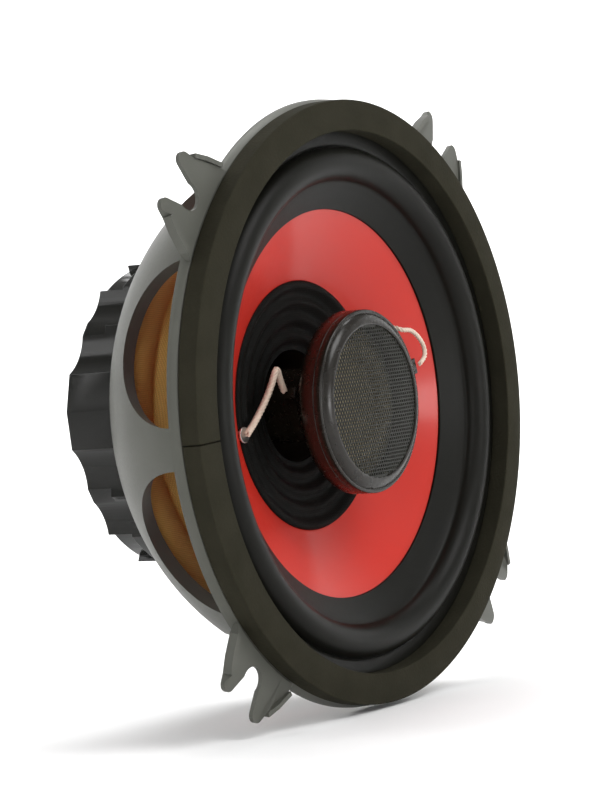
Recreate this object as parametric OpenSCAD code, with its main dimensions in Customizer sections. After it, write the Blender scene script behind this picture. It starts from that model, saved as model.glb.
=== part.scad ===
// Two-way coaxial car speaker as an assembly of separate parts.
// Each module is drawn in the speaker's own frame: x right, y up, z forward out of the cone,
// with z = 0 on the sealing face of the front gasket. facing() then turns z to -Y.

/* [Overall] */
// radius of the front gasket
gasket_r = 65; // [52:0.5:80]
// depth from the gasket face to the back of the basket
basket_depth = 42; // [34:0.5:52]
// turn of the basket about the speaker axis
clock = 5; // [0:1:45]

/* [Gasket and flange] */
// thickness of the gasket foam
gasket_t = 5; // [3:0.1:7]
// width of the gasket ring
gasket_w = 6.7; // [4:0.1:9]
// thickness of the basket sheet
sheet_t = 1; // [0.6:0.1:1.5]
// height of the turned-back rim on the flange
rim_h = 1.3; // [0.8:0.1:3]
// width of the butt joint in the gasket
seam_w = 0.3; // [0.1:0.1:0.8]

/* [Basket] */
// radius of the flat back plate
back_r = 37.9; // [34:0.1:42]
// thickness of the turned-in lip around each window
lip_t = 0.9; // [0.6:0.1:1.4]
// depth of the turned-in lip around each window
lip_h = 3.2; // [1.5:0.1:4]
// reach of each fixing ear beyond the flange
ear_reach = 9.6; // [6:0.1:14]
// angle by which each ear leans back from the flange
ear_lean = 8; // [0:1:20]
// width of the open slot in each ear
slot_w = 6; // [4:0.1:8]

/* [Cone] */
// radius of the cone at its outer edge
cone_r = 48; // [40:0.5:56]
// drop of the cone face per millimetre towards the axis
cone_slope = 0.545; // [0.4:0.005:0.7]
// thickness of the cone along the axis
cone_t = 0.9; // [0.5:0.1:1.5]
// radius of the black centre ring
centre_r = 27; // [22:0.5:32]
// height of the surround roll
roll_h = 3.4; // [2:0.1:5]
// thickness of the surround rubber
rubber_t = 0.6; // [0.4:0.1:1]

/* [Motor] */
// radius of the ferrite magnet
magnet_r = 31; // [26:0.5:33]
// thickness of the ferrite magnet
magnet_t = 6; // [5:0.5:9]
// thickness of the top plate and of the back plate
plate_t = 3; // [2:0.5:4]
// radius of the pole
pole_r = 11.9; // [9:0.1:12.5]
// thickness of the voice coil winding
winding_t = 0.5; // [0.3:0.1:0.7]
// thickness of the magnet cover
cover_t = 1.2; // [0.8:0.1:2]

/* [Tweeter] */
// radius of the tweeter housing
tweeter_r = 19.8; // [17:0.1:22]
// radius of the grille
grille_r = 17; // [14:0.1:18]
// pitch of the grille holes
grille_pitch = 3.6; // [3:0.1:5]
// radius of the tweeter post
post_r = 8; // [6.5:0.1:9]

/* [Leads] */
// radius of the braided tweeter leads
braid_r = 0.8; // [0.5:0.05:1]
// radius of the tinsel leads behind the cone
tinsel_r = 0.6; // [0.4:0.05:0.8]

/* [Hidden] */
$fn = 96;
cut = 1;
gap = 0.3;

// flange and bowl
flange_r = gasket_r + 0.6;
gasket_in = gasket_r - gasket_w;
flange_z = -gasket_t;
gasket_ease = 0.6;
ear_turn = clock + 44.5;
slot_at = flange_r + 5.1;
bowl_r = gasket_r - 6.4;
bowl_z = -4.3;
bowl_w = bowl_r - back_r;
bowl_d = basket_depth + bowl_z;
bowl_arc = (bowl_w * bowl_w + bowl_d * bowl_d) / (2 * bowl_w);
bowl_x = bowl_r - bowl_arc;
back_z = -basket_depth;
back_hole_r = 14.5;
function bowl_at(z) = bowl_x + sqrt(bowl_arc * bowl_arc - (z - bowl_z) * (z - bowl_z));
function bowl_in(z) = bowl_x + sqrt(pow(bowl_arc - sheet_t, 2) - (z - bowl_z) * (z - bowl_z));

// windows in the bowl
windows = 8;
window_r = basket_depth * 0.428;
window_z = -basket_depth * 0.267;
window_top = flange_z - sheet_t - 5.4;

// surround and cone
lip_r = gasket_r - 3.8;
roll_out = bowl_r - sheet_t - 2.4;
roll_mid = (cone_r + roll_out) / 2;
roll_half = (roll_out - cone_r) / 2;
roll_arc = (roll_half * roll_half + roll_h * roll_h) / (2 * roll_h);
roll_z = flange_z + roll_h - roll_arc;
lap_w = 6;
edge_z = -5.8;
function face_z(r) = edge_z - (cone_r - r) * cone_slope;

// voice coil
former_in = pole_r + gap;
former_out = former_in + 0.3;
winding_out = former_out + winding_t;
gap_r = winding_out + 0.35;
winding_l = 7;
gap_z = back_z - plate_t / 2;
former_top = face_z(former_out) + 4.6;
former_end = gap_z - winding_l / 2 - 0.4;

// spider
spider_z = back_z + 11;
spider_r = bowl_in(spider_z) - 1;
spider_flat_r = spider_r - 8.6;
spider_t = 0.5;
spider_wave = 1.1;
spider_folds = 4;

// motor
magnet_z = back_z - plate_t;
yoke_z = magnet_z - magnet_t;
yoke_end = yoke_z - plate_t;
cover_end = yoke_end - cover_t;
plate_r = magnet_r - 1.5;
rivet_ring = 22;

// eyelets and terminal board
eyelet_r = 1.2;
eyelet_ring = centre_r - 0.4;
eyelet_turn = 4.5;
board_z = window_z - 8.8;
board_tilt = asin((bowl_z - board_z) / bowl_arc);
board_w = 25;
board_h = 12;
board_t = 1.5;
spade_y = 9.6;

// tweeter
tweeter_step = -2.2;
tweeter_back = -5.6;
tweeter_end = -14;
ledge_z = -6.2;
cup_r = 12.3;
cup_z = -10.6;
dome_r = 9.1;
dome_z = -5.6;
dome_h = 2.6;

// routes of the leads
left_lead = [
  [-26.2, -4.3, -15.2], [-22.4, -2, -15.8], [-20, 1.2, -15], [-18.6, 4.6, -13.8],
  [-18, 8.2, -12.4], [-17.2, 8.4, -12.4], [-15.6, 6.4, -13], [-13.6, 3.6, -13.4]
];
right_lead = [
  [26.2, 4.4, -15.2], [27, 8.6, -12.6], [23.6, 13.2, -8.6], [18.2, 15, -4.6], [18.6, 14.4, -2.4],
  [22.2, 14, -2.4], [25.6, 12.2, -2.6], [27.2, 10, -2.5], [26.2, 8, -2], [23.4, 6.4, -1.7]
];
positive_route = [
  [55.2, 9.6, -19.8], [50, 9.4, -20.6], [44, 8.6, -22], [37, 6.8, -23], [31, 4, -22.4], [26.6, 2.2, -20]
];
negative_route = [
  [55.2, -9.6, -19.8], [50, -10.6, -20.8], [43, -13, -22.6], [34, -17, -24.2], [24, -19.6, -25.2],
  [12, -20.6, -25.4], [0, -20.6, -25.4], [-12, -18, -25], [-21, -12, -23.8], [-25.4, -6.6, -22.2],
  [-26.6, -2.2, -20]
];

// ---- helpers ----

// turns the speaker frame into the part's frame: forward becomes -Y, up becomes +Z
module facing() {
  rotate([90, 0, 0]) children();
}

// a flat ring between two heights
module ring(r_out, r_in, z_low, z_high) {
  translate([0, 0, z_low])
    difference() {
      cylinder(r = r_out, h = z_high - z_low);
      translate([0, 0, -cut]) cylinder(r = r_in, h = z_high - z_low + 2 * cut);
    }
}

// copies round the axis
module around(count, start) {
  for (i = [0 : count - 1])
    rotate([0, 0, start + i * 360 / count]) children();
}

// frame on the outside of the bowl at the terminal board: x out of the wall, z up the wall
module at_board() {
  rotate([0, 0, clock])
    translate([bowl_at(board_z) + gap, 0, board_z])
      rotate([0, board_tilt, 0]) children();
}

function unit(v) = v / norm(v);
function heading(p, i) = unit(p[min(i + 1, len(p) - 1)] - p[max(i - 1, 0)]);
function first_side(t) = unit(cross(t, abs(t[2]) < 0.8 ? [0, 0, 1] : [1, 0, 0]));
function carried(p, i, sides) =
  i == len(p) ? sides :
  let (t = heading(p, i), n = i == 0 ? first_side(t) : sides[i - 1])
  carried(p, i + 1, concat(sides, [unit(n - (n * t) * t)]));
// smooth curve through the listed points, in equal steps between each pair
function curve_at(a, b, c, d, t) =
  0.5 * (2 * b + (c - a) * t + (2 * a - 5 * b + 4 * c - d) * t * t + (3 * b - a - 3 * c + d) * t * t * t);
function curve(p, steps) = concat(
  [for (i = [0 : len(p) - 2], s = [0 : steps - 1])
    curve_at(p[max(i - 1, 0)], p[i], p[i + 1], p[min(i + 2, len(p) - 1)], s / steps)],
  [p[len(p) - 1]]
);

// a round lead swept along a list of points
module lead(p, r) {
  n = 8;
  side = carried(p, 0, []);
  points = [
    for (i = [0 : len(p) - 1], k = [0 : n - 1])
      let (t = heading(p, i), u = side[i], v = cross(t, u), a = k * 360 / n)
      p[i] + r * cos(a) * u + r * sin(a) * v
  ];
  walls = [
    for (i = [0 : len(p) - 2], k = [0 : n - 1], h = [0, 1])
      let (a = i * n + k, b = i * n + (k + 1) % n)
      h == 0 ? [a, a + n, b + n] : [a, b + n, b]
  ];
  start = [for (k = [0 : n - 1]) k];
  finish = [for (k = [0 : n - 1]) len(p) * n - 1 - k];
  polyhedron(points = points, faces = concat(walls, [start, finish]), convexity = 4);
}

// ---- basket ----

// the space between two arcs that follow the bowl wall
module bowl_band(outer, inner) {
  intersection() {
    translate([back_r - 8, back_z]) square([bowl_r, basket_depth + flange_z]);
    difference() {
      translate([bowl_x, bowl_z]) circle(bowl_arc - outer);
      translate([bowl_x, bowl_z]) circle(bowl_arc - inner);
    }
  }
}

module basket_section() {
  bowl_band(0, sheet_t);
  translate([back_hole_r, back_z]) square([back_r - back_hole_r - 1, sheet_t]);
  translate([bowl_r - sheet_t, flange_z - sheet_t]) square([flange_r - bowl_r + sheet_t, sheet_t]);
  translate([flange_r - 1, flange_z - sheet_t - rim_h]) square([1, sheet_t + rim_h]);
  intersection() {
    translate([spider_r - 4, spider_z - spider_t / 2 - sheet_t]) square([8, sheet_t]);
    translate([bowl_x, bowl_z]) circle(bowl_arc - sheet_t / 2);
  }
}

// round window with a straight front edge, seen along the radius
module window_outline(inset) {
  intersection() {
    translate([-window_z, 0]) circle(window_r - inset);
    translate([-window_top, -window_r]) square(2 * window_r);
  }
}

module window_prism(inset) {
  translate([bowl_r - 20, 0, 0])
    rotate([0, 90, 0]) linear_extrude(30) window_outline(inset);
}

module window_lips() {
  intersection() {
    rotate_extrude() bowl_band(0, sheet_t + lip_h);
    around(windows, clock + 180 / windows)
      difference() {
        window_prism(0);
        window_prism(lip_t);
        translate([bowl_r - 21, -window_r, window_top - 1.4]) cube([32, 2 * window_r, 10]);
      }
  }
}

module ear_outline() {
  tip = flange_r + ear_reach;
  difference() {
    union() {
      polygon([
        [flange_r - 3, -12], [flange_r + 1, -11.6], [flange_r + 5, -9.8], [tip, -7.7],
        [tip, 7.7], [flange_r + 5, 9.8], [flange_r + 1, 11.6], [flange_r - 3, 12]
      ]);
      for (s = [-1, 1]) translate([tip, s * 6]) circle(1.7);
    }
    circle(flange_r - 0.5);
    translate([slot_at, 0]) circle(slot_w / 2);
    polygon([
      [slot_at, -slot_w / 2], [tip + 3, -slot_w / 2 - 1.6],
      [tip + 3, slot_w / 2 + 1.6], [slot_at, slot_w / 2]
    ]);
  }
}

// forked ear that leans back from the flange, with a lip turned forward along each side
module ear() {
  lip = sheet_t + 1.8;
  translate([flange_r, 0, flange_z - sheet_t])
    rotate([0, ear_lean, 0])
      translate([-flange_r, 0, 0]) {
        linear_extrude(sheet_t) ear_outline();
        for (s = [0, 1]) mirror([0, s, 0])
          linear_extrude(lip)
            polygon([
              [flange_r + 0.4, 11.7], [flange_r + 1, 11.6], [flange_r + 5, 9.8],
              [flange_r + ear_reach - 0.6, 8], [flange_r + ear_reach - 0.8, 7.2],
              [flange_r + 4.7, 8.9], [flange_r + 0.4, 10.8]
            ]);
      }
}

module basket() {
  color([0.43, 0.43, 0.40]) {
    difference() {
      union() {
        rotate_extrude() basket_section();
        around(4, ear_turn) ear();
      }
      around(windows, clock + 180 / windows) window_prism(0);
      around(4, clock + 45)
        translate([rivet_ring, 0, back_z - cut]) cylinder(r = 2, h = 4);
      at_board()
        for (z = [-3.5, 3.5])
          translate([-4, 0, z]) rotate([0, 90, 0]) cylinder(r = 1.2, h = 8);
    }
    window_lips();
  }
}

// ---- front gasket ----

module front_gasket() {
  color([0.22, 0.21, 0.17])
    difference() {
      rotate_extrude()
        polygon([
          [gasket_in, 0], [gasket_in + 3, 0], [gasket_r, -gasket_ease],
          [gasket_r, flange_z], [lip_r + gap, flange_z],
          [lip_r + gap, flange_z + rubber_t], [gasket_in, flange_z + rubber_t]
        ]);
      rotate([0, 0, 183.5])
        translate([gasket_in - cut, -seam_w / 2, flange_z - cut])
          cube([gasket_w + 2 * cut, seam_w, gasket_t + 2 * cut]);
    }
}

// ---- cone assembly ----

module surround() {
  color([0.13, 0.13, 0.12])
    rotate_extrude() {
      translate([roll_out - 0.6, flange_z]) square([lip_r - roll_out + 0.6, rubber_t]);
      intersection() {
        difference() {
          translate([roll_mid, roll_z]) circle(roll_arc);
          translate([roll_mid, roll_z]) circle(roll_arc - rubber_t);
        }
        polygon([
          [cone_r - 1, flange_z - 0.5], [roll_mid, flange_z - 0.5], [roll_mid, flange_z],
          [roll_out + 1, flange_z], [roll_out + 1, 0], [cone_r - 1, 0]
        ]);
      }
      polygon([
        [cone_r - lap_w, face_z(cone_r - lap_w)], [cone_r + 0.6, face_z(cone_r + 0.6)],
        [cone_r + 0.6, face_z(cone_r + 0.6) + rubber_t],
        [cone_r - lap_w, face_z(cone_r - lap_w) + rubber_t]
      ]);
    }
}

module eyelet_places() {
  around(2, clock + eyelet_turn) translate([eyelet_ring, 0, 0]) children();
}

module cone() {
  color([0.78, 0.27, 0.22])
    difference() {
      rotate_extrude()
        polygon([
          [former_out, face_z(former_out)], [cone_r + 0.6, face_z(cone_r + 0.6)],
          [cone_r + 0.6, face_z(cone_r + 0.6) - cone_t], [former_out, face_z(former_out) - cone_t]
        ]);
      eyelet_places() translate([0, 0, -30]) cylinder(r = eyelet_r, h = 30);
    }
}

// one rounded fold of the centre ring for each step outward
module centre_ring() {
  r_in = former_in;
  rise = face_z(centre_r) - former_top;
  n = 40;
  function mid(r) = former_top + rise * (r - r_in) / (centre_r - r_in);
  function fold(r) = -0.45 * sin(360 * 4 * (r - r_in) / (centre_r - r_in));
  function step(i) = r_in + (centre_r - r_in) * i / n;
  color([0.05, 0.05, 0.05])
    difference() {
      rotate_extrude()
        polygon(concat(
          [for (i = [0 : n]) [step(i), mid(step(i)) + fold(step(i)) + rubber_t]],
          [for (i = [n : -1 : 0]) [step(i), mid(step(i)) + fold(step(i))]]
        ));
      eyelet_places() translate([0, 0, -30]) cylinder(r = eyelet_r + 0.3, h = 30);
      ring(former_out + 0.4, former_in - cut, former_top - 2, former_top);
    }
}

module cone_eyelets() {
  z = face_z(eyelet_ring);
  color([0.75, 0.73, 0.68])
    eyelet_places() {
      translate([0, 0, z - 2]) cylinder(r = eyelet_r, h = 3.6);
      translate([0, 0, z + 1.1]) cylinder(r = 1.7, h = 0.5);
      translate([0, 0, z - 2.4]) cylinder(r = 1.7, h = 0.5);
    }
}

module spider() {
  n = 64;
  span = spider_flat_r - former_out;
  function step(i) = former_out + span * i / n;
  function fold(i) = spider_z + spider_wave * sin(360 * spider_folds * i / n);
  color([0.74, 0.55, 0.22])
    rotate_extrude()
      polygon(concat(
        [for (i = [0 : n]) [step(i), fold(i) + spider_t / 2]],
        [[spider_r, spider_z + spider_t / 2], [spider_r, spider_z - spider_t / 2]],
        [for (i = [n : -1 : 0]) [step(i), fold(i) - spider_t / 2]]
      ));
}

module voice_coil_former() {
  color([0.62, 0.45, 0.20]) ring(former_out, former_in, former_end, former_top);
}

module voice_coil_winding() {
  color([0.72, 0.40, 0.20])
    ring(winding_out, former_out, gap_z - winding_l / 2, gap_z + winding_l / 2);
}

// ---- motor ----

module top_plate() {
  color([0.55, 0.55, 0.53])
    difference() {
      ring(plate_r, gap_r, magnet_z, back_z);
      around(4, clock + 45) translate([rivet_ring, 0, magnet_z - cut]) cylinder(r = 2, h = plate_t + 2 * cut);
    }
}

module magnet() {
  color([0.20, 0.20, 0.20]) ring(magnet_r, 16.5, yoke_z, magnet_z);
}

module yoke() {
  color([0.55, 0.55, 0.53])
    difference() {
      union() {
        ring(plate_r, pole_r - cut, yoke_end, yoke_z);
        translate([0, 0, yoke_end]) cylinder(r = pole_r, h = back_z - yoke_end);
      }
      translate([0, 0, yoke_end - cut]) cylinder(r = 2.2, h = 40);
      translate([0, 0, yoke_end - cut]) cylinder(r = 4.6, h = 3.4 + cut);
    }
}

module basket_rivets() {
  color([0.60, 0.60, 0.58])
    around(4, clock + 45)
      translate([rivet_ring, 0, 0]) {
        translate([0, 0, magnet_z + 0.2]) cylinder(r = 2, h = plate_t + sheet_t - 0.2);
        translate([0, 0, back_z + sheet_t]) cylinder(r = 3, h = 0.8);
      }
}

// outline of the cover: three lobes, each with two flats in the middle and two flutes at each side
module cover_outline() {
  circle(magnet_r + 2.4);
  around(3, 175)
    polygon([
      [0, 0],
      for (s = [[-50, 3.9], [-32, 2.7], [-15, 4.6], [0, 5], [15, 4.6], [32, 2.7], [50, 3.9]])
        (magnet_r + s[1]) * [cos(s[0]), sin(s[0])]
    ]);
}

// shallow round flutes, two at each side of a lobe
module cover_flutes() {
  flute_r = 11;
  around(3, 175)
    for (s = [-41, -23.5, 23.5, 41])
      rotate([0, 0, s]) translate([magnet_r + 2 + flute_r, 0]) circle(flute_r);
}

module magnet_cover() {
  skirt_z = back_z - 7;
  skirt_r = magnet_r + 4.2;
  color([0.06, 0.06, 0.06])
    difference() {
      union() {
        translate([0, 0, cover_end]) linear_extrude(back_z - cover_end) cover_outline();
        translate([0, 0, skirt_z]) cylinder(r = skirt_r, h = back_z - skirt_z);
      }
      translate([0, 0, cover_end - 1]) linear_extrude(back_z - cover_end + 2) cover_flutes();
      translate([0, 0, yoke_end]) cylinder(r = magnet_r + 0.5, h = 40);
    }
}

// ---- terminals ----

module terminal_board() {
  color([0.35, 0.22, 0.12])
    at_board()
      difference() {
        translate([0, -board_w / 2, -board_h / 2]) cube([board_t, board_w, board_h]);
        for (z = [-3.5, 3.5]) translate([-cut, 0, z]) rotate([0, 90, 0]) cylinder(r = 1.2, h = 4);
        for (y = [-spade_y, spade_y]) translate([-cut, y, 0]) rotate([0, 90, 0]) cylinder(r = 1, h = 4);
      }
}

module terminal_rivets() {
  color([0.62, 0.62, 0.60])
    at_board() {
      for (z = [-3.5, 3.5]) translate([0, 0, z]) rotate([0, 90, 0]) {
        translate([0, 0, -1.9]) cylinder(r = 1.2, h = 3.4);
        translate([0, 0, -2.1]) cylinder(r = 2.2, h = 0.6);
        translate([0, 0, board_t]) cylinder(r = 2.2, h = 0.6);
      }
      for (y = [-spade_y, spade_y]) translate([0, y, 0]) rotate([0, 90, 0]) {
        translate([0, 0, -0.3]) cylinder(r = 1, h = board_t + 1.1);
        translate([0, 0, -0.5]) cylinder(r = 1.8, h = 0.5);
        translate([0, 0, board_t + 0.8]) cylinder(r = 1.8, h = 0.5);
      }
    }
}

module spade(width, y) {
  at_board()
    translate([board_t, y, 0])
      difference() {
        union() {
          translate([0, -width / 2, -16]) cube([0.8, width, 19]);
          rotate([0, 90, 0]) cylinder(r = 2.6, h = 0.8);
        }
        translate([-cut, 0, 0]) rotate([0, 90, 0]) cylinder(r = 1, h = 4);
        translate([-cut, 0, -12]) rotate([0, 90, 0]) cylinder(r = 0.7, h = 4);
      }
}

module positive_spade() {
  color([0.80, 0.66, 0.34]) spade(4.8, spade_y);
}

module negative_spade() {
  color([0.78, 0.78, 0.76]) spade(2.8, -spade_y);
}

// ---- leads ----

module positive_tinsel_lead() {
  color([0.80, 0.66, 0.42]) rotate([0, 0, clock]) lead(curve(positive_route, 2), tinsel_r);
}

module negative_tinsel_lead() {
  color([0.80, 0.66, 0.42]) rotate([0, 0, clock]) lead(curve(negative_route, 3), tinsel_r);
}

module left_tweeter_lead() {
  color([0.80, 0.74, 0.67]) lead(curve(left_lead, 2), braid_r);
}

module right_tweeter_lead() {
  color([0.80, 0.74, 0.67]) lead(curve(right_lead, 2), tinsel_r);
}

// ---- tweeter ----

module tweeter_post() {
  color([0.07, 0.07, 0.07])
    difference() {
      union() {
        translate([0, 0, back_z]) cylinder(r = post_r, h = tweeter_end - back_z);
        translate([0, 0, back_z]) cylinder(r = pole_r - 1.3, h = 2);
      }
      translate([0, 0, back_z - cut]) cylinder(r = 2, h = 14 + cut);
      translate([0, 0, tweeter_end - 13]) cylinder(r = 4.8, h = 13 + cut);
    }
}

module post_screw() {
  color([0.60, 0.60, 0.58])
    difference() {
      union() {
        translate([0, 0, yoke_end + 0.8]) cylinder(r = 3.8, h = 2.6);
        translate([0, 0, yoke_end + 3.4]) cylinder(r = 2, h = back_z - yoke_end + 8);
      }
      translate([0, -0.5, yoke_end + 1]) cube([5, 1, 1.6], center = true);
      translate([0, 0, yoke_end + 1]) cube([1, 5, 1.6], center = true);
    }
}

module tweeter_housing() {
  color([0.10, 0.08, 0.06])
    difference() {
      rotate_extrude()
        polygon([
          [0, tweeter_end], [post_r + 0.5, tweeter_end], [tweeter_r, tweeter_back],
          [tweeter_r, tweeter_step], [tweeter_r - 1.5, tweeter_step], [tweeter_r - 1.5, ledge_z],
          [cup_r + 2.7, ledge_z], [cup_r, ledge_z - 2.4], [cup_r, cup_z], [0, cup_z]
        ]);
      translate([0, 0, tweeter_end - cut]) cylinder(r = 1.5, h = 6);
    }
}

module tweeter_bezel() {
  color([0.08, 0.07, 0.06])
    rotate_extrude()
      polygon([
        [grille_r, tweeter_step], [tweeter_r, tweeter_step], [tweeter_r, -0.7],
        [tweeter_r - 0.3, -0.4], [tweeter_r - 0.8, -0.6], [tweeter_r - 1.5, -1.3], [grille_r, -1.7]
      ]);
}

module tweeter_grille() {
  rise = 1;
  arc = (grille_r * grille_r + rise * rise) / (2 * rise);
  color([0.16, 0.16, 0.14])
    difference() {
      rotate_extrude()
        intersection() {
          difference() {
            translate([0, -1 - arc]) circle(arc);
            translate([0, -1 - arc]) circle(arc - 0.5);
          }
          translate([0, tweeter_step - 1]) square([grille_r, 5]);
        }
      for (i = [-4 : 4], j = [-4 : 4])
        let (x = grille_pitch * (i + j / 2), y = grille_pitch * j * sqrt(3) / 2)
        if (norm([x, y]) < grille_r - 1.6)
          translate([x, y, tweeter_step - 2]) cylinder(r = 0.9, h = 4);
    }
}

module tweeter_tabs() {
  color([0.20, 0.19, 0.17]) {
    rotate([0, 0, 15.2])
      translate([tweeter_r - 0.2, -1.7, -3.2]) cube([4.4, 3.4, 0.8]);
    rotate([0, 0, 165])
      translate([12.4, -1.2, tweeter_end - 0.4]) cube([0.8, 2.4, 3]);
  }
}

module tweeter_yoke() {
  color([0.50, 0.50, 0.48]) {
    translate([0, 0, cup_z]) cylinder(r = cup_r - 0.3, h = 1.2);
    ring(cup_r - 0.3, dome_r + 0.6, cup_z, cup_z + 4.2);
  }
}

module tweeter_magnet() {
  color([0.70, 0.70, 0.70]) translate([0, 0, cup_z + 1.2]) cylinder(r = dome_r - 1.5, h = 1.8);
}

module tweeter_pole_plate() {
  color([0.50, 0.50, 0.48]) translate([0, 0, cup_z + 3]) cylinder(r = dome_r - 1.2, h = 1.2);
}

module tweeter_coil() {
  color([0.72, 0.40, 0.20]) ring(dome_r, dome_r - 0.8, dome_z - 2.8, dome_z);
}

module tweeter_diaphragm() {
  arc = (dome_r * dome_r + dome_h * dome_h) / (2 * dome_h);
  roll = 2.4;
  color([0.75, 0.70, 0.55])
    rotate_extrude() {
      intersection() {
        difference() {
          translate([0, dome_z + dome_h - arc]) circle(arc);
          translate([0, dome_z + dome_h - arc]) circle(arc - 0.3);
        }
        translate([0, dome_z]) square([dome_r + 0.2, dome_h + 1]);
      }
      translate([dome_r - 0.8, dome_z]) square([1.3, 0.3]);
      intersection() {
        difference() {
          translate([dome_r + 0.2 + roll, dome_z]) circle(roll);
          translate([dome_r + 0.2 + roll, dome_z]) circle(roll - 0.3);
        }
        translate([dome_r, dome_z]) square([6, 4]);
      }
      translate([dome_r + 2 * roll - 0.2, ledge_z]) square([0.4, dome_z - ledge_z + 0.1]);
      translate([dome_r + 2 * roll - 0.2, ledge_z]) square([tweeter_r - 2 - dome_r - 2 * roll, 0.3]);
    }
}

module crossover_capacitor() {
  color([0.12, 0.25, 0.45]) translate([0, 0, tweeter_end - 12]) cylinder(r = 4.2, h = 10);
}

module capacitor_legs() {
  color([0.75, 0.75, 0.74])
    for (x = [-0.9, 0.9]) translate([x, 0, tweeter_end - 2.2]) cylinder(r = 0.35, h = 5);
}

// ---- assembly ----

facing() basket();
facing() front_gasket();
facing() surround();
facing() cone();
facing() centre_ring();
facing() cone_eyelets();
facing() spider();
facing() voice_coil_former();
facing() voice_coil_winding();
facing() top_plate();
facing() magnet();
facing() yoke();
facing() magnet_cover();
facing() basket_rivets();
facing() terminal_board();
facing() terminal_rivets();
facing() positive_spade();
facing() negative_spade();
facing() positive_tinsel_lead();
facing() negative_tinsel_lead();
facing() left_tweeter_lead();
facing() right_tweeter_lead();
facing() tweeter_post();
facing() post_screw();
facing() tweeter_housing();
facing() tweeter_bezel();
facing() tweeter_grille();
facing() tweeter_tabs();
facing() tweeter_yoke();
facing() tweeter_magnet();
facing() tweeter_pole_plate();
facing() tweeter_coil();
facing() tweeter_diaphragm();
facing() crossover_capacitor();
facing() capacitor_legs();
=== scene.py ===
# %% [markdown]
# A coaxial car speaker: a steel basket holds a red cone on a rubber surround, a foam gasket seals
# the front, and a small tweeter stands on a post in the middle. The CAD model gives every size and
# every moving body. Here each visible piece is made again with finer edges, folds, weaves and grain.
# The pieces that do not bend ride on the same body as the CAD piece that they stand for; the
# surround, spider, dome film and leads sit on no body.

import math

import bmesh
import bpy
from mathutils import Matrix, Vector


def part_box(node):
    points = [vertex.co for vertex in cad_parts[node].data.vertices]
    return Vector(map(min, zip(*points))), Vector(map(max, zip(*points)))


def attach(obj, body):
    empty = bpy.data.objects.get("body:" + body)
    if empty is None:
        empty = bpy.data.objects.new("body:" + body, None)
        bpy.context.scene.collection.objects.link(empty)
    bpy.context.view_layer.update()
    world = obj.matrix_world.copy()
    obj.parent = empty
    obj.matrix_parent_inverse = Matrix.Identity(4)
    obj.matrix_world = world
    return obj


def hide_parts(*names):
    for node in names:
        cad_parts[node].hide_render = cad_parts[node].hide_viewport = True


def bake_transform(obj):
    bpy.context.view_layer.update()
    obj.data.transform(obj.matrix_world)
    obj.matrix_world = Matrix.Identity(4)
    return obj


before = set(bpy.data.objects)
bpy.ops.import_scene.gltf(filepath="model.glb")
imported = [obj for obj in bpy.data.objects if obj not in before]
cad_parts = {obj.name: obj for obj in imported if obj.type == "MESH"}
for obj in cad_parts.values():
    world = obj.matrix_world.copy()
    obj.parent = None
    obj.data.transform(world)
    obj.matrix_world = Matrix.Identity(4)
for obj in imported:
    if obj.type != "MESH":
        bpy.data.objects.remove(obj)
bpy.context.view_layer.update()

# %% [markdown]
# All shapes below are written the way a speaker maker reads them: a distance from the speaker's
# axis, and a height z in front of the gasket's face, both in millimetres. The axis runs along Y
# and the front faces -Y, so at() is the only place that knows how this maps to Blender's axes.

# %% Points and bodies
MM = 0.001
MOTOR, CONE, DOME = "frame_and_motor", "cone_assembly", "tweeter_dome_assembly"


def at(r, z, turn=0.0):
    return Vector((r * math.cos(turn), -z, r * math.sin(turn))) * MM


def place(x, y, z):
    return Vector((x, -z, y)) * MM


GASKET_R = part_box("front_gasket")[1].x / MM
print("gasket radius, mm:", round(GASKET_R, 2))

# %% [markdown]
# The camera stands in front and to the left, almost level, so the cone is seen across the dish
# and the basket and magnet cover show behind the flange. A long lens keeps the ellipses calm.
# Its matrix is built from three directions: right, up and back.

# %% Camera
LOOK_AT = Vector((-28.06, 0, 2.36)) * MM
TURN, RISE, LEAN = math.radians(-56.66), math.radians(2.0), math.radians(-4.86)
CAMERA_AWAY = 0.7
back = Vector((math.sin(TURN) * math.cos(RISE), -math.cos(TURN) * math.cos(RISE), math.sin(RISE)))
level = (-back).cross(Vector((0, 0, 1))).normalized()
upright = level.cross(-back)
right = level * math.cos(LEAN) + upright * math.sin(LEAN)
up = upright * math.cos(LEAN) - level * math.sin(LEAN)

camera_data = bpy.data.cameras.new("camera")
camera_data.lens = 151.57
camera_data.sensor_width = 36
camera = bpy.data.objects.new("camera", camera_data)
bpy.context.scene.collection.objects.link(camera)
facing_object = Matrix((right, up, back)).transposed().to_4x4()
camera.matrix_world = Matrix.Translation(LOOK_AT + back * CAMERA_AWAY) @ facing_object
bpy.context.scene.camera = camera
print("camera at, mm:", [round(v * 1000) for v in camera.matrix_world.translation])

# %% [markdown]
# The stage is one pale sheet that rises into a round wall, so no horizon cuts behind the speaker.
# A white sky gives the soft base light. One large softbox in front and above shapes the folds, and
# a small card straight ahead is mirrored in the right side of the red cone. A narrow strip at the
# left reaches through the windows, one box behind lights the ears, and the last one only brightens
# the wall behind the speaker.

# %% Stage and light
FLOOR_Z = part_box("basket")[0].z - 0.0004
FLAT_R, WALL_BEND, WALL_TOP = 1.5, 0.5, 1.3


def link(obj):
    bpy.context.scene.collection.objects.link(obj)
    return obj


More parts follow.
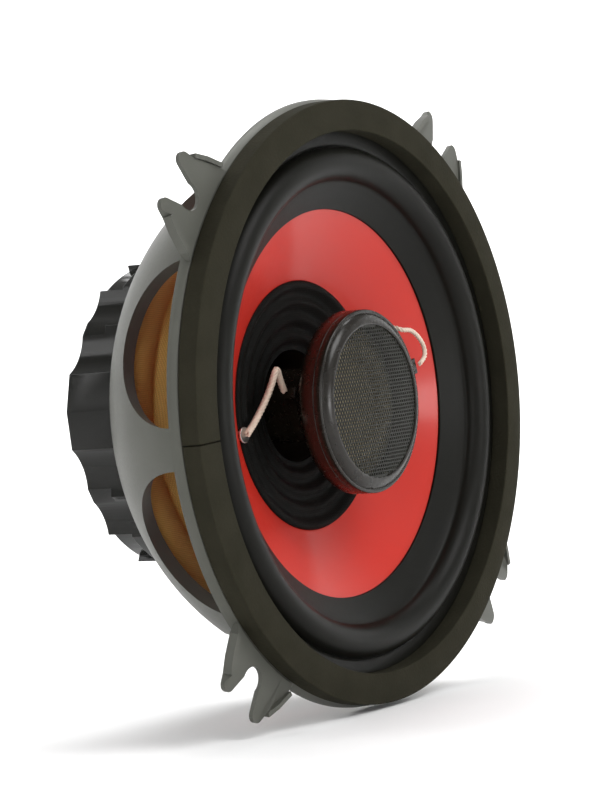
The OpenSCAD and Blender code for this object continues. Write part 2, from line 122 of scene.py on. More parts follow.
def sheet_stage():
    bm = bmesh.new()
    points = [(0, 0), (0.9, 0), (FLAT_R, 0)]
    for i in range(1, 9):
        a = math.radians(i * 90 / 8)
        points.append((FLAT_R + WALL_BEND * math.sin(a), WALL_BEND - WALL_BEND * math.cos(a)))
    points.append((FLAT_R + WALL_BEND, WALL_TOP))
    verts = [bm.verts.new((x, 0, FLOOR_Z + z)) for x, z in points]
    edges = [bm.edges.new(pair) for pair in zip(verts, verts[1:])]
    bmesh.ops.spin(bm, geom=verts + edges, axis=(0, 0, 1), cent=(0, 0, 0), angle=math.tau,
                   steps=72, use_merge=True)
    bmesh.ops.remove_doubles(bm, verts=bm.verts, dist=1e-6)
    mesh = bpy.data.meshes.new("stage_sheet")
    bm.to_mesh(mesh)
    bm.free()
    mesh.shade_smooth()
    return link(bpy.data.objects.new("stage_sheet", mesh))


def softbox(name, where, aim, size, power, tall=None):
    light = bpy.data.lights.new(name, "AREA")
    light.energy = power
    light.shape = "RECTANGLE"
    light.size, light.size_y = size, tall or size
    obj = link(bpy.data.objects.new(name, light))
    turn = (Vector(aim) - Vector(where)).to_track_quat("-Z", "Y").to_matrix().to_4x4()
    obj.matrix_world = Matrix.Translation(where) @ turn
    return obj


stage = sheet_stage()
paper = bpy.data.materials.new("stage_paper")
paper.use_nodes = True
paper.node_tree.nodes["Principled BSDF"].inputs["Base Color"].default_value = (0.92, 0.92, 0.92, 1)
paper.node_tree.nodes["Principled BSDF"].inputs["Roughness"].default_value = 0.9
stage.data.materials.append(paper)
softbox("front_softbox", (0.1, -0.9, 1.0), (0, 0, 0), 0.7, 9)
softbox("front_card", (0.0, -1.0, -0.02), (0, 0, 0), 0.3, 2.2, 0.2)
softbox("side_strip", (-1.0, -0.4, 0.35), (0, 0, 0), 0.25, 2.2, 0.7)
softbox("back_softbox", (-0.6, 0.8, 0.7), (0, 0, 0), 0.5, 2.5)
softbox("backdrop_light", (0.55, 0.35, 1.3), (1.5, 1.0, 0.1), 1.0, 38)

world = bpy.data.worlds.new("white_sky")
bpy.context.scene.world = world
world.use_nodes = True
world.node_tree.nodes["Background"].inputs["Color"].default_value = (1, 1, 1, 1)
world.node_tree.nodes["Background"].inputs["Strength"].default_value = 0.28
bpy.context.scene.view_settings.view_transform = "Standard"
print("floor height, mm:", round(FLOOR_Z / MM, 2))

# %% [markdown]
# Every finish starts the same way: a broad noise shifts the colour a little, and a fine one changes
# how glossy the surface is and also becomes a bump.

# %% A base for every finish


def finish(name, colour, shade, rough, metal=0.0, cloud=60.0, grain=900.0, bump=0.15, depth=0.04,
           **sockets):
    material = bpy.data.materials.new(name)
    material.use_nodes = True
    tree = material.node_tree
    nodes, links = tree.nodes, tree.links
    shader = nodes["Principled BSDF"]
    shader.inputs["Metallic"].default_value = metal
    for socket, value in sockets.items():
        shader.inputs[socket.replace("_", " ")].default_value = value
    coords = nodes.new("ShaderNodeTexCoord")

    def noise(scale, detail):
        node = nodes.new("ShaderNodeTexNoise")
        node.inputs["Scale"].default_value = scale
        node.inputs["Detail"].default_value = detail
        links.new(coords.outputs["Object"], node.inputs["Vector"])
        return node

    broad, fine = noise(cloud, 4), noise(grain, 3)
    tint = nodes.new("ShaderNodeMix")
    tint.data_type = "RGBA"
    tint.inputs["A"].default_value = (*shade, 1)
    tint.inputs["B"].default_value = (*colour, 1)
    links.new(broad.outputs["Fac"], tint.inputs["Factor"])
    links.new(tint.outputs["Result"], shader.inputs["Base Color"])
    gloss = nodes.new("ShaderNodeMapRange")
    gloss.inputs["To Min"].default_value, gloss.inputs["To Max"].default_value = rough
    links.new(fine.outputs["Fac"], gloss.inputs["Value"])
    links.new(gloss.outputs["Result"], shader.inputs["Roughness"])
    relief = nodes.new("ShaderNodeBump")
    relief.inputs["Strength"].default_value = bump
    relief.inputs["Distance"].default_value = depth * MM
    links.new(fine.outputs["Fac"], relief.inputs["Height"])
    links.new(relief.outputs["Normal"], shader.inputs["Normal"])
    return {"material": material, "nodes": nodes, "links": links, "shader": shader,
            "coords": coords, "tint": tint, "relief": relief}


WAVE_BANDS = 3.18  # bands that a wave texture draws per metre at a scale of 1


def woven(made, pitch, strength, depth, dark):
    """Threads along X and Z, as in a cloth that was woven flat before it was pressed into shape."""
    nodes, links = made["nodes"], made["links"]
    threads = []
    for direction in ("X", "Z"):
        wave = nodes.new("ShaderNodeTexWave")
        wave.bands_direction = direction
        wave.inputs["Scale"].default_value = 1 / (pitch * MM) / WAVE_BANDS
        wave.inputs["Distortion"].default_value = 0.6
        wave.inputs["Detail Scale"].default_value = 300
        links.new(made["coords"].outputs["Object"], wave.inputs["Vector"])
        threads.append(wave)
    cross = nodes.new("ShaderNodeMath")
    cross.operation = "MULTIPLY"
    links.new(threads[0].outputs["Fac"], cross.inputs[0])
    links.new(threads[1].outputs["Fac"], cross.inputs[1])
    links.new(cross.outputs[0], made["relief"].inputs["Height"])
    made["relief"].inputs["Strength"].default_value = strength
    made["relief"].inputs["Distance"].default_value = depth * MM
    shaded = nodes.new("ShaderNodeMix")
    shaded.data_type = "RGBA"
    shaded.inputs["A"].default_value = (*dark, 1)
    links.new(made["tint"].outputs["Result"], shaded.inputs["B"])
    lift = nodes.new("ShaderNodeMapRange")
    lift.inputs["To Min"].default_value = 0.45
    links.new(cross.outputs[0], lift.inputs["Value"])
    links.new(lift.outputs["Result"], shaded.inputs["Factor"])
    links.new(shaded.outputs["Result"], made["shader"].inputs["Base Color"])
    return made


# %% [markdown]
# The hard and rubbery surfaces need nothing more than the base. Each has two close colours, a range
# of roughness, and a size for its clouds and grain. The blacks carry a low specular level, so the
# white surroundings do not wash them out to grey.

# %% Metal, plastic and rubber finishes
grey_paint = finish("grey_paint", (0.1, 0.101, 0.087), (0.08, 0.081, 0.069), (0.4, 0.52), metal=0.1,
                    cloud=90, grain=1500, bump=0.2, depth=0.04, Specular_IOR_Level=0.2)["material"]
plated_steel = finish("plated_steel", (0.52, 0.52, 0.5), (0.4, 0.4, 0.38), (0.25, 0.45), metal=1.0)["material"]
ferrite = finish("ferrite", (0.035, 0.035, 0.036), (0.02, 0.02, 0.02), (0.5, 0.8), bump=0.3)["material"]
gloss_black = finish("gloss_black", (0.011, 0.011, 0.009), (0.007, 0.007, 0.006), (0.12, 0.2),
                     bump=0.04, depth=0.02, Specular_IOR_Level=0.22)["material"]
satin_black = finish("satin_black", (0.012, 0.009, 0.006), (0.007, 0.006, 0.004), (0.2, 0.32),
                     bump=0.08, depth=0.02, Specular_IOR_Level=0.35)["material"]
grille_black = finish("grille_black", (0.024, 0.024, 0.019), (0.018, 0.018, 0.014), (0.4, 0.52), metal=0.2,
                      bump=0.12, depth=0.02, Specular_IOR_Level=0.3)["material"]
roll_rubber = finish("roll_rubber", (0.008, 0.008, 0.006), (0.005, 0.005, 0.004), (0.36, 0.46), cloud=40,
                     grain=1200, bump=0.12, depth=0.03, Specular_IOR_Level=0.12)["material"]
tinned = finish("tinned", (0.66, 0.65, 0.6), (0.5, 0.49, 0.45), (0.2, 0.42), metal=1.0)["material"]
spade_brass = finish("spade_brass", (0.62, 0.44, 0.16), (0.5, 0.34, 0.11), (0.22, 0.4), metal=1.0)["material"]
laminate = finish("laminate", (0.1, 0.045, 0.018), (0.07, 0.03, 0.012), (0.45, 0.65), grain=2500)["material"]
copper = finish("copper", (0.6, 0.24, 0.1), (0.45, 0.17, 0.07), (0.2, 0.35), metal=0.9)["material"]
former_film = finish("former_film", (0.02, 0.013, 0.008), (0.012, 0.008, 0.005), (0.3, 0.45))["material"]
dome_film = finish("dome_film", (0.4, 0.34, 0.2), (0.3, 0.25, 0.15), (0.3, 0.5), bump=0.05)["material"]
blue_sleeve = finish("blue_sleeve", (0.02, 0.06, 0.2), (0.015, 0.045, 0.15), (0.2, 0.3))["material"]
print("plain finishes:", len(bpy.data.materials))

# %% [markdown]
# The gasket is dense foam. Its skin is a field of tiny cells, so a Voronoi pattern of half a
# millimetre breaks up the bump. The cone carries a thin glossy red film, which
# is a plain coloured base under a clear coat. The spider and the centre ring are cloth.

# %% Foam, film and cloth finishes
foam = finish("gasket_foam", (0.03, 0.028, 0.019), (0.017, 0.016, 0.01), (0.75, 0.95), cloud=120, grain=1800,
              Specular_IOR_Level=0.05)
cells = foam["nodes"].new("ShaderNodeTexVoronoi")
cells.inputs["Scale"].default_value = 1700
foam["links"].new(foam["coords"].outputs["Object"], cells.inputs["Vector"])
foam["links"].new(cells.outputs["Distance"], foam["relief"].inputs["Height"])
foam["relief"].inputs["Strength"].default_value = 0.5
foam["relief"].inputs["Distance"].default_value = 0.12 * MM
gasket_foam = foam["material"]

red_film = finish("red_film", (0.52, 0.024, 0.013), (0.46, 0.018, 0.01), (0.3, 0.38), cloud=25, grain=700,
                  bump=0.04, depth=0.03, Specular_IOR_Level=0.2, Coat_Weight=0.22, Coat_Roughness=0.14)["material"]
amber_cloth = woven(finish("amber_cloth", (0.85, 0.56, 0.16), (0.72, 0.45, 0.11), (0.6, 0.8), cloud=80),
                    0.42, 0.7, 0.12, (0.3, 0.16, 0.03))["material"]
black_cloth = woven(finish("black_cloth", (0.007, 0.007, 0.006), (0.004, 0.004, 0.0035), (0.5, 0.65), cloud=80,
                           Specular_IOR_Level=0.06), 0.5, 0.5, 0.08, (0.003, 0.003, 0.0025))["material"]
cream_braid = finish("cream_braid", (0.72, 0.6, 0.5), (0.55, 0.43, 0.33), (0.45, 0.65), cloud=900, grain=6000,
                     bump=0.4, depth=0.05)["material"]
tinsel = finish("tinsel", (0.62, 0.42, 0.22), (0.4, 0.26, 0.12), (0.3, 0.5), metal=0.7, cloud=900, grain=6000,
                bump=0.4, depth=0.05)["material"]
print("finishes:", len(bpy.data.materials))

# %% [markdown]
# Most of a speaker is round, so most pieces are turned: a section is drawn once as a line of
# points, and bmesh spins it about the axis. A thin sheet is spun as a single skin and gets its
# thickness from a Solidify modifier, which needs the skin's normals to point the right way first.

# %% Turned pieces


def turned(section, closed=True, steps=192):
    bm = bmesh.new()
    verts = [bm.verts.new(at(r, z)) for r, z in section]
    pairs = list(zip(verts, verts[1:])) + ([(verts[-1], verts[0])] if closed else [])
    edges = [bm.edges.new(pair) for pair in pairs]
    bmesh.ops.spin(bm, geom=verts + edges, cent=(0, 0, 0), axis=(0, 1, 0), angle=math.tau,
                   steps=steps, use_merge=True)
    bmesh.ops.remove_doubles(bm, verts=bm.verts, dist=1e-7)
    bmesh.ops.recalc_face_normals(bm, faces=bm.faces)
    return bm


def facing(bm, forward=True):
    """Turns the skin's faces so that they look out of the front, or out of the back."""
    looks_back = sum(f.normal.y * f.calc_area() for f in bm.faces) > 0
    if looks_back == forward:
        bmesh.ops.reverse_faces(bm, faces=bm.faces)
    return bm


def arc(r, z, radius, start, end, steps):
    """Points on a circle of the section: 0 degrees points away from the axis, 90 to the front."""
    angles = [math.radians(start + (end - start) * i / steps) for i in range(steps + 1)]
    return [(r + radius * math.cos(a), z + radius * math.sin(a)) for a in angles]


def piece(name, bm, body, slot, material, *stands_for, sharp=35):
    mesh = bpy.data.meshes.new(name)
    bm.to_mesh(mesh)
    bm.free()
    mesh.shade_smooth()
    mesh.set_sharp_from_angle(angle=math.radians(sharp))
    mesh.materials.append(material)
    obj = link(bpy.data.objects.new(name, mesh))
    if body:
        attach(obj, body)
    if stands_for:
        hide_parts(*stands_for)
    print(name, len(mesh.polygons), "faces")
    return obj


def thicken(obj, thickness, offset=-1.0):
    wall = obj.modifiers.new("wall", "SOLIDIFY")
    wall.thickness, wall.offset, wall.use_even_offset = thickness * MM, offset, True
    return obj


def soften(obj, width, segments=3, angle=32):
    edge = obj.modifiers.new("edge", "BEVEL")
    edge.width, edge.segments, edge.limit_method = width * MM, segments, "ANGLE"
    edge.angle_limit, edge.harden_normals = math.radians(angle), True
    return obj


# %% [markdown]
# The gasket is a strip of foam bent round and butted, so it is not a closed ring. Its section is
# filled as a face and spun for a little less than a full turn, which leaves a real gap with two cut
# ends. Its front slopes away a little at the outside, where the foam gives.

# %% Front gasket
SEAM, SEAM_GAP = math.radians(183.5), 0.2


def foam_ring():
    section = [(58.3, 0), (61.3, 0), (63.4, -0.25), (65, -0.6), (65, -5), (61.5, -5), (61.5, -4.4), (58.3, -4.4)]
    bm = bmesh.new()
    half_gap = SEAM_GAP / 2 / GASKET_R
    face = bm.faces.new([bm.verts.new(at(r, z, SEAM - half_gap)) for r, z in section])
    bmesh.ops.spin(bm, geom=[face, *face.verts, *face.edges], cent=(0, 0, 0), axis=(0, 1, 0),
                   angle=math.tau - 2 * half_gap, steps=240)
    bmesh.ops.remove_doubles(bm, verts=bm.verts, dist=1e-7)
    bmesh.ops.recalc_face_normals(bm, faces=bm.faces)
    return bm


gasket = piece("foam_gasket", foam_ring(), MOTOR, "gasket_foam", gasket_foam, "front_gasket")
soften(gasket, 0.35, 3)

# %% [markdown]
# The surround is one sheet of rubber: a flat lip under the gasket, a half roll that lets the cone
# move, and a flat band glued on the cone. It stretches when the cone moves, but here it is one
# still sheet on no body and follows neither the basket nor the cone.

# %% Surround
CONE_EDGE, CONE_SLOPE = 48.0, 0.545


def cone_face(r):
    return -5.8 - (CONE_EDGE - r) * CONE_SLOPE


def across(obj, inner, outer):
    """Bakes the transform into the mesh and works out a weight by radius for each point, but stores none, so nothing
    moves with the cone, the dome or the basket.
    """
    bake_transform(obj)
    for v in obj.data.vertices:
        t = (outer * MM - math.hypot(v.co.x, v.co.z)) / ((outer - inner) * MM)
        t = min(1.0, max(0.0, t))
    return obj


ROLL_R, ROLL_MID, ROLL_Z = 3.606, 51.6, -5.206
roll = ([(61.2, -4.4), (58.4, -4.4), (56.0, -4.42), (55.55, -4.55)]
        + arc(ROLL_MID, ROLL_Z, ROLL_R, 6, 172, 30)
        + [(47.9, -5.1)]
        + [(r, cone_face(r) + 0.6) for r in (47.5, 46, 44, 42.4, 42.05)] + [(42.0, cone_face(42) + 0.1)])
surround = piece("rubber_surround", facing(turned(roll, closed=False, steps=256)), None, "surround_rubber",
                 roll_rubber, "surround", sharp=60)
across(soften(thicken(surround, 0.55), 0.12, 2, 50), 48.2, 55.2)

# %% [markdown]
# The cone is a stiff shallow cone with a glossy red face. The centre ring is a separate black cloth
# with four pressed folds, glued on the cone at its rim and on the coil's former at its hole.

# %% Cone and centre ring
cone_skin = [(r, cone_face(r)) for r in (48.6, 46, 42, 38, 34, 30, 27, 24, 20, 16, 12.6)]
cone = piece("red_cone", facing(turned(cone_skin, closed=False, steps=256)), CONE, "red_cone",
             red_film, "cone")
soften(thicken(cone, 0.9), 0.12, 2, 50)

RING_IN, RING_OUT = 12.3, 27.0
HUB_Z = cone_face(12.5) + 4.6


def ring_face(r):
    share = (r - RING_IN) / (RING_OUT - RING_IN)
    return HUB_Z + (cone_face(RING_OUT) - HUB_Z) * share - 0.45 * math.sin(math.tau * 4 * share) + 0.55


folds = [(RING_OUT + 0.25, cone_face(RING_OUT) + 0.15)]
ring_steps = [RING_OUT - (RING_OUT - RING_IN) * i / 72 for i in range(73)]
folds += [(r, ring_face(r)) for r in ring_steps]
centre = piece("black_centre_ring", facing(turned(folds, closed=False, steps=256)), CONE, "black_cloth",
               black_cloth, "centre_ring", sharp=60)
soften(thicken(centre, 0.45), 0.1, 2, 60)

# %% [markdown]
# The spider is the amber cloth disc that centres the coil. Its folds are a sine wave along the
# radius, and a flat rim is glued to a shelf in the basket. Like the surround, it bends when the
# cone moves, but here it is one still sheet on no body, with no weights.

# %% Spider
SPIDER_Z, SPIDER_HOLE, SPIDER_FLAT, SPIDER_RIM = -31.0, 12.5, 38.3, 46.9


def spider_fold(r):
    return SPIDER_Z + 1.1 * math.sin(math.tau * 4 * (r - SPIDER_HOLE) / (SPIDER_FLAT - SPIDER_HOLE)) + 0.25


spider_skin = [(SPIDER_RIM, SPIDER_Z + 0.25), (42, SPIDER_Z + 0.25)]
spider_steps = [SPIDER_FLAT - (SPIDER_FLAT - SPIDER_HOLE) * i / 96 for i in range(97)]
spider_skin += [(r, spider_fold(r)) for r in spider_steps]
spider = piece("amber_spider", facing(turned(spider_skin, closed=False, steps=224)), None, "amber_cloth",
               amber_cloth, "spider", sharp=60)
across(thicken(spider, 0.45), 14, SPIDER_FLAT)

# %% [markdown]
# The basket is pressed from one sheet, so it is modelled as one skin. The bowl is spun in small
# cells. Cells inside a window are deleted, and the ragged edge left behind is pushed onto the
# window's true outline: most of a circle, with a straight side towards the flange. Then the round
# part of each edge is extruded inwards as the turned-in lip, and Solidify gives the sheet its 1 mm.

# %% Basket bowl with windows
BOWL_ARC, BOWL_X, BOWL_Z = 44.6807, 13.9193, -4.3
WINDOW_R, WINDOW_MID, WINDOW_TOP, LIP = 17.976, 11.214, 11.4, 3.2
CLOCK = math.radians(5)
WINDOW_TURNS = [CLOCK + math.radians(22.5 + 45 * k) for k in range(8)]


def bowl(z, inset=0.0):
    return BOWL_X + math.sqrt((BOWL_ARC - inset) ** 2 - (z - BOWL_Z) ** 2)


def window_place(point):
    """(depth behind the gasket, distance across, which window) of a point on the bowl, in mm."""
    x, z, depth = point.x / MM, point.z / MM, point.y / MM
    turn = math.atan2(z, x)
    nearest = min(WINDOW_TURNS, key=lambda w: abs(math.remainder(turn - w, math.tau)))
    return depth, math.hypot(x, z) * math.sin(math.remainder(turn - nearest, math.tau)), nearest


def on_bowl(depth, across_mm, window, inset=0.0):
    r_out = bowl(-depth)
    turn = math.asin(across_mm / r_out)
    if inset:
        x = math.sqrt(max(bowl(-depth, inset) ** 2 - across_mm ** 2, 1))
    else:
        x = r_out * math.cos(turn)
    return at(math.hypot(x, across_mm), -depth, window + math.atan2(across_mm, x))


def in_window(depth, across_mm):
    return depth > WINDOW_TOP and (depth - WINDOW_MID) ** 2 + across_mm ** 2 < WINDOW_R ** 2


def snapped(depth, across_mm):
    """The nearest point of the window's outline."""
    from_mid = math.hypot(depth - WINDOW_MID, across_mm)
    if depth - WINDOW_TOP < WINDOW_R - from_mid:
        half = math.sqrt(WINDOW_R ** 2 - (WINDOW_TOP - WINDOW_MID) ** 2)
        return WINDOW_TOP, max(-half, min(half, across_mm))
    k = WINDOW_R / from_mid
    return max(WINDOW_TOP, WINDOW_MID + (depth - WINDOW_MID) * k), across_mm * k


def pressed_sheet():
    section = [(14.5, -42), (20, -42), (28, -42), (36.4, -42), (37.4, -41.93), (38.4, -41.6)]
    section += [(bowl(z), z) for z in [-41.0 + 0.78 * i for i in range(44)]]
    section += [(58.56, -7.1), (58.64, -6.6), (58.9, -6.2), (59.4, -6.02), (61.5, -6), (63.8, -6)]
    section += [(64.3, -6.08), (64.55, -6.4), (64.6, -6.8), (64.6, -7.3)]
    bm = turned(section, closed=False, steps=384)
    facing(bm, forward=False)
    gone = [f for f in bm.faces if in_window(*window_place(f.calc_center_median())[:2])]
    bmesh.ops.delete(bm, geom=gone, context="FACES")
    return bm


def trim_windows(bm):
    rim = {}
    for e in bm.edges:
        if e.is_boundary:
            for v in e.verts:
                depth, off, window = window_place(v.co)
                if 9 < depth < 32 and v.co.xz.length > 48 * MM:
                    rim[v] = (*snapped(depth, off), window)
    for v, (depth, off, window) in rim.items():
        v.co = on_bowl(depth, off, window)
    rim_edges = [e for e in bm.edges if e.is_boundary and all(v in rim for v in e.verts)]
    round_edges = [e for e in rim_edges if all(rim[v][0] > WINDOW_TOP + 1.8 for v in e.verts)]
    made = bmesh.ops.extrude_edge_only(bm, edges=round_edges)
    for v in (g for g in made["geom"] if isinstance(g, bmesh.types.BMVert)):
        depth, off, window = window_place(v.co)
        v.co = on_bowl(depth, off, window, LIP)
    print("window edge points:", len(rim), "lip edges:", len(round_edges))
    return bm


# %% [markdown]
# Each of the four ears is a fork: a flat plate with an open slot for a screw, and a lip turned
# forward along each side to stiffen it. It is drawn as one flat face, then its two side edges are
# extruded forwards. The whole fork leans back a little, as the pressed ones do.

# %% Basket ears and shelf
EAR_TURNS = [CLOCK + math.radians(44.5 + 90 * k) for k in range(4)]
FLANGE_R, SLOT_AT, EAR_LEAN = 65.6, 70.7, math.radians(8)


def add_ear(bm, turn):
    root = [(65.2 * math.cos(a), 65.2 * math.sin(a)) for a in (0.06, 0.12, 0.18)]
    side = root + [(66.6, 11.7), (71.0, 10.0), (74.2, 8.2)]
    tip = arc(75.2, 6.0, 1.7, 74, -66, 8)
    slot = arc(SLOT_AT, 0, 3.0, 76, 180, 9)
    half = side + tip + slot
    outline = half + [(p, -q) for p, q in reversed(half[:-1])] + [(65.2, 0)]

    def ear_point(p, q, rise=0.0):
        out = (p - FLANGE_R) * math.cos(EAR_LEAN) + rise * math.sin(EAR_LEAN) + FLANGE_R
        z = -6 - (p - FLANGE_R) * math.sin(EAR_LEAN) + rise * math.cos(EAR_LEAN)
        return at(math.hypot(out, q), z, turn + math.atan2(q, out))

    verts = [bm.verts.new(ear_point(p, q)) for p, q in outline]
    face = bm.faces.new(verts)
    face.normal_update()
    if face.normal.y < 0:
        face.normal_flip()
    last = len(verts) - 2
    chains = [verts[3:6], [verts[last - 3], verts[last - 4], verts[last - 5]]]
    sides = [bm.edges.get(pair) for chain in chains for pair in zip(chain, chain[1:])]
    made = bmesh.ops.extrude_edge_only(bm, edges=[e for e in sides if e])
    lift = (ear_point(70, 0, 2.2) - ear_point(70, 0, 0))
    lip = [g for g in made["geom"] if isinstance(g, bmesh.types.BMVert)]
    bmesh.ops.translate(bm, vec=lift, verts=lip)


sheet = trim_windows(pressed_sheet())
for ear_angle in EAR_TURNS:
    add_ear(sheet, ear_angle)
basket = piece("grey_basket", sheet, MOTOR, "basket_paint", grey_paint, "basket", sharp=40)
soften(thicken(basket, 1.0), 0.24, 2, angle=38)

shelf_r = bowl(SPIDER_Z) - 1
shelf = piece("spider_shelf", turned([(SPIDER_RIM - 4, SPIDER_Z - 0.28), (shelf_r + 0.5, SPIDER_Z - 0.28),
                                      (shelf_r - 0.1, SPIDER_Z - 1.2), (SPIDER_RIM - 4, SPIDER_Z - 1.2)]),
              MOTOR, "basket_paint", grey_paint)
soften(shelf, 0.2, 2)

# %% [markdown]
# The hard pieces that the CAD already shapes well are copied, merged and given small rounded
# edges. A CAD mesh is loose triangles, so its copy is merged before the Bevel modifier can find
# the real edges. The copy stands for the CAD node, which is hidden.

# %% Refined copies of CAD pieces


def refined(node, name, body, slot, material, width=0.25, segments=3, sharp=32):
    bm = bmesh.new()
    bm.from_mesh(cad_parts[node].data)
    bmesh.ops.remove_doubles(bm, verts=bm.verts, dist=2e-6)
    bmesh.ops.dissolve_limit(bm, angle_limit=math.radians(1), verts=bm.verts, edges=bm.edges)
    obj = piece(name, bm, body, slot, material, node, sharp=sharp)
    return soften(obj, width, segments) if width else obj


refined("magnet_cover", "gloss_magnet_cover", MOTOR, "gloss_black", gloss_black, 0.4, 3, 30)
refined("terminal_board", "terminal_board_plate", MOTOR, "board_laminate", laminate, 0.12, 2)
refined("terminal_rivets", "terminal_board_rivets", MOTOR, "tinned_metal", tinned, 0.15, 2)
refined("positive_spade", "positive_spade_tab", MOTOR, "spade_brass", spade_brass, 0.12, 2)
refined("negative_spade", "negative_spade_tab", MOTOR, "tinned_metal", tinned, 0.12, 2)
refined("cone_eyelets", "cone_eyelet_pair", CONE, "tinned_metal", tinned, 0.12, 2)
refined("tweeter_tabs", "tweeter_solder_tabs", MOTOR, "tinned_metal", satin_black, 0.12, 2)
refined("basket_rivets", "basket_rivet_heads", MOTOR, "plated_steel", plated_steel, 0.25, 3)
refined("post_screw", "post_screw_head", MOTOR, "plated_steel", plated_steel, 0.15, 2)
refined("tweeter_post", "tweeter_post_tube", MOTOR, "matt_black", satin_black, 0.3, 3)

# %% [markdown]
# The pieces inside the motor and the tweeter hardly show, but each still gets the finish that the
# real one has, because they can be seen when the speaker is taken apart or cut open.

# %% Finishes for the inner CAD pieces
INNER = {"voice_coil_former": former_film, "voice_coil_winding": copper, "top_plate": plated_steel,
         "magnet": ferrite, "yoke": plated_steel, "tweeter_yoke": plated_steel, "tweeter_magnet": plated_steel,
         "tweeter_pole_plate": plated_steel, "tweeter_coil": copper, "crossover_capacitor": blue_sleeve,
         "capacitor_legs": tinned}
for node, material in INNER.items():
    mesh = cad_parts[node].data
    mesh.materials.clear()
    mesh.materials.append(material)
print("inner pieces finished:", len(INNER))

# %% [markdown]
# The tweeter sits in a turned cup. A bezel with a thin raised rim holds the grille. Behind it the
# dome is a thin film with its own small roll. The real roll bends as the dome moves; this one is a
# still sheet on no body.

# %% Tweeter cup, bezel and dome
cup_section = [(0, -14), (8.5, -14), (17.6, -7.1), (19.1, -6.3), (19.8, -5.2), (19.8, -2.25), (18.3, -2.25),
               (18.3, -6.2), (15, -6.2), (12.3, -8.6), (12.3, -10.6), (0, -10.6)]
cup = piece("tweeter_cup", turned(cup_section, closed=False, steps=160), MOTOR, "matt_black",
            satin_black, "tweeter_housing")
soften(cup, 0.25, 3, angle=38)

bezel_rim = [(16.75, -2.2), (19.8, -2.2), (19.8, -0.75), (19.65, -0.5), (19.35, -0.4), (19.0, -0.5)]
bezel_shoulder = [(18.85, -0.25), (18.55, 0.1), (18.05, 0.45), (17.5, 0.7), (17.1, 0.85)]
bezel_lip = [(16.8, 0.9), (16.55, 0.85), (16.45, 0.7), (16.5, 0.4), (16.75, 0.1)]
bezel = piece("tweeter_bezel_ring", turned(bezel_rim + bezel_shoulder + bezel_lip, steps=192), MOTOR,
              "matt_black", satin_black, "tweeter_bezel", sharp=50)

dome = ([(0, -3.0)] + arc(0, -5.6 + 2.6 - 17.225, 17.225, 88, 58.2, 16) + [(9.15, -5.5)]
        + arc(11.7, -5.6, 2.4, 176, 4, 14) + [(14.15, -6.0), (15.4, -6.0), (17.6, -6.0)])
tweeter_dome = piece("tweeter_dome", facing(turned(dome, closed=False, steps=96)), None, "dome_film", dome_film,
                     "tweeter_diaphragm", sharp=70)
across(thicken(tweeter_dome, 0.18), 9.6, 14)

# %% [markdown]
# The grille is a punched sheet with a close honeycomb of holes. One cell is a six-sided border
# with a round hole. It is made once from two circles joined by bridge_loops, and copied over the
# disc. The cells share corners, so merging makes one sheet, which is then pushed into a low dome.

# %% Tweeter grille
HOLE_PITCH, HOLE_R, GRILLE_R = 0.9, 0.315, 17.0


def grille_cell(bm, x, z, open_hole):
    border_r = HOLE_PITCH / math.sqrt(3)
    border = bmesh.ops.create_circle(bm, cap_ends=not open_hole, segments=12, radius=border_r * MM)["verts"]
    for i, v in enumerate(border):
        if i % 2:
            v.co *= math.cos(math.radians(30))
    found = list(border)
    if open_hole:
        hole = bmesh.ops.create_circle(bm, cap_ends=False, segments=12, radius=HOLE_R * MM)["verts"]
        edges = {e for v in border + hole for e in v.link_edges}
        bmesh.ops.bridge_loops(bm, edges=list(edges))
        found += hole
    stand = Matrix.Rotation(math.pi / 2, 4, "X") @ Matrix.Rotation(math.radians(30), 4, "Z")
    bmesh.ops.transform(bm, matrix=Matrix.Translation((x * MM, 0, z * MM)) @ stand, verts=found)


def punched_disc():
    bm = bmesh.new()
    count = 0
    rows = int(GRILLE_R / (HOLE_PITCH * 0.866)) + 1
    for row in range(-rows, rows + 1):
        for column in range(-rows - 4, rows + 5):
            x, z = HOLE_PITCH * (column + (row % 2) / 2), HOLE_PITCH * 0.8660254 * row
            far = math.hypot(x, z)
            if far < GRILLE_R - 0.35:
                grille_cell(bm, x, z, far < GRILLE_R - 0.7)
                count += 1
    bmesh.ops.remove_doubles(bm, verts=bm.verts, dist=0.02 * MM)
    for v in bm.verts:
        r = math.hypot(v.co.x, v.co.z) / MM
        v.co.y = (r * r / 289 - 1.5) * MM
    bmesh.ops.recalc_face_normals(bm, faces=bm.faces)
    print("grille cells:", count)
    return facing(bm)


grille = piece("tweeter_grille_sheet", punched_disc(), MOTOR, "grille_paint", grille_black,
               "tweeter_grille", sharp=50)
grille.data.shade_flat()
thicken(grille, 0.2)

# %% [markdown]
# The leads are twisted from a few thin strands. A smooth curve runs through the route's points,
# and each strand winds round it as a thin tube. Real strands look right from any side, where a
# bump on one plain tube would not. Each lead is one still piece on no body.

# %% Twisted leads
STRAND_STEP = 0.32


def smooth_route(points, step):
    """Points at even spacing on a smooth curve through the given ones, in mm."""
    dense = []
    for i in range(len(points) - 1):
        a, b = points[max(i - 1, 0)], points[i]
        c, d = points[i + 1], points[min(i + 2, len(points) - 1)]
        for k in range(12):
            t = k / 12
            bend = (2 * a - 5 * b + 4 * c - d) * t * t
            dense.append(0.5 * (2 * b + (c - a) * t + bend + (3 * b - a - 3 * c + d) * t ** 3))
    dense.append(points[-1])
    route, left = [dense[0]], step
    for p, q in zip(dense, dense[1:]):
        length = (q - p).length
        while left <= length:
            route.append(p + (q - p) * (left / length))
            left += step
        left -= length
    return route


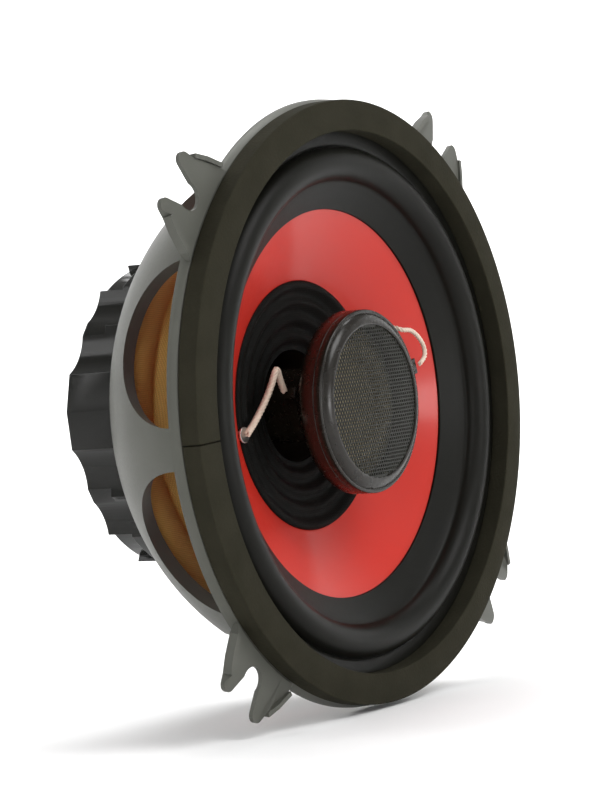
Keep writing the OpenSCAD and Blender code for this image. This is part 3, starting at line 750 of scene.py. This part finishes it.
def twisted_lead(name, points, radius, strands, pitch, slot, material, node):
    route = smooth_route([Vector(p) for p in points], STRAND_STEP)
    curve = bpy.data.curves.new(name, "CURVE")
    curve.dimensions, curve.bevel_resolution, curve.use_fill_caps = "3D", 1, True
    thin = radius * {3: 0.5, 4: 0.46, 5: 0.42}[strands]
    curve.bevel_depth = thin * MM
    side = (route[1] - route[0]).orthogonal().normalized()
    frames = []
    for i, p in enumerate(route):
        ahead = (route[min(i + 1, len(route) - 1)] - route[max(i - 1, 0)]).normalized()
        side = (side - ahead * side.dot(ahead)).normalized()
        frames.append((p, side.copy(), ahead.cross(side)))
    for s in range(strands):
        spline = curve.splines.new("POLY")
        spline.points.add(len(route) - 1)
        for i, (p, u, v) in enumerate(frames):
            a = math.tau * (s / strands + i * STRAND_STEP / pitch)
            q = p + (u * math.cos(a) + v * math.sin(a)) * (radius - thin)
            spline.points[i].co = (*place(*q), 1)
    holder = link(bpy.data.objects.new(name + "_curve", curve))
    mesh = bpy.data.meshes.new_from_object(holder.evaluated_get(bpy.context.evaluated_depsgraph_get()))
    bpy.data.objects.remove(holder)
    bm = bmesh.new()
    bm.from_mesh(mesh)
    bmesh.ops.recalc_face_normals(bm, faces=bm.faces)
    lead = piece(name, bm, None, slot, material, node, sharp=60)
    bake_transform(lead)
    length = sum((q - p).length for p, q in zip(route, route[1:]))
    print(name, "length, mm:", round(length, 1))
    return lead


LEFT = [(-26.2, -4.3, -15.4), (-22.4, -2, -15.8), (-20, 1.2, -15), (-18.6, 4.6, -13.8),
        (-18, 8.2, -12.4), (-17.2, 8.4, -12.4), (-15.6, 6.4, -13), (-13.6, 3.6, -13.4)]
RIGHT = [(26.2, 4.4, -15.6), (27, 8.6, -12.6), (23.6, 13.2, -8.6), (18.2, 15, -4.6), (18.6, 14.4, -2.4),
         (22.2, 14, -2.4), (25.6, 12.2, -2.6), (27.2, 10, -2.5), (26.2, 8, -2), (23.4, 6.4, -1.8)]
POSITIVE = [(55.4, 9.6, -19.8), (50, 9.4, -20.6), (44, 8.6, -22), (37, 6.8, -23), (31, 4, -22.4), (26.6, 2.2, -19.8)]
NEGATIVE = [(55.4, -9.6, -19.8), (50, -10.6, -20.8), (43, -13, -22.6), (34, -17, -24.2), (24, -19.6, -25.2),
            (12, -20.6, -25.4), (0, -20.6, -25.4), (-12, -18, -25), (-21, -12, -23.8), (-25.4, -6.6, -22.2),
            (-26.6, -2.2, -19.8)]


def clocked(points):
    c, s = math.cos(CLOCK), math.sin(CLOCK)
    return [(x * c - y * s, x * s + y * c, z) for x, y, z in points]


twisted_lead("left_tweeter_braid", LEFT, 0.8, 4, 3.4, "cream_braid", cream_braid,
             "left_tweeter_lead")
twisted_lead("right_tweeter_braid", RIGHT, 0.55, 3, 2.6, "cream_braid", cream_braid,
             "right_tweeter_lead")
for name, node, route in (("positive_tinsel_braid", "positive_tinsel_lead", clocked(POSITIVE)),
                          ("negative_tinsel_braid", "negative_tinsel_lead", clocked(NEGATIVE))):
    twisted_lead(name, route, 0.6, 4, 3.0, "tinsel_braid", tinsel, node)
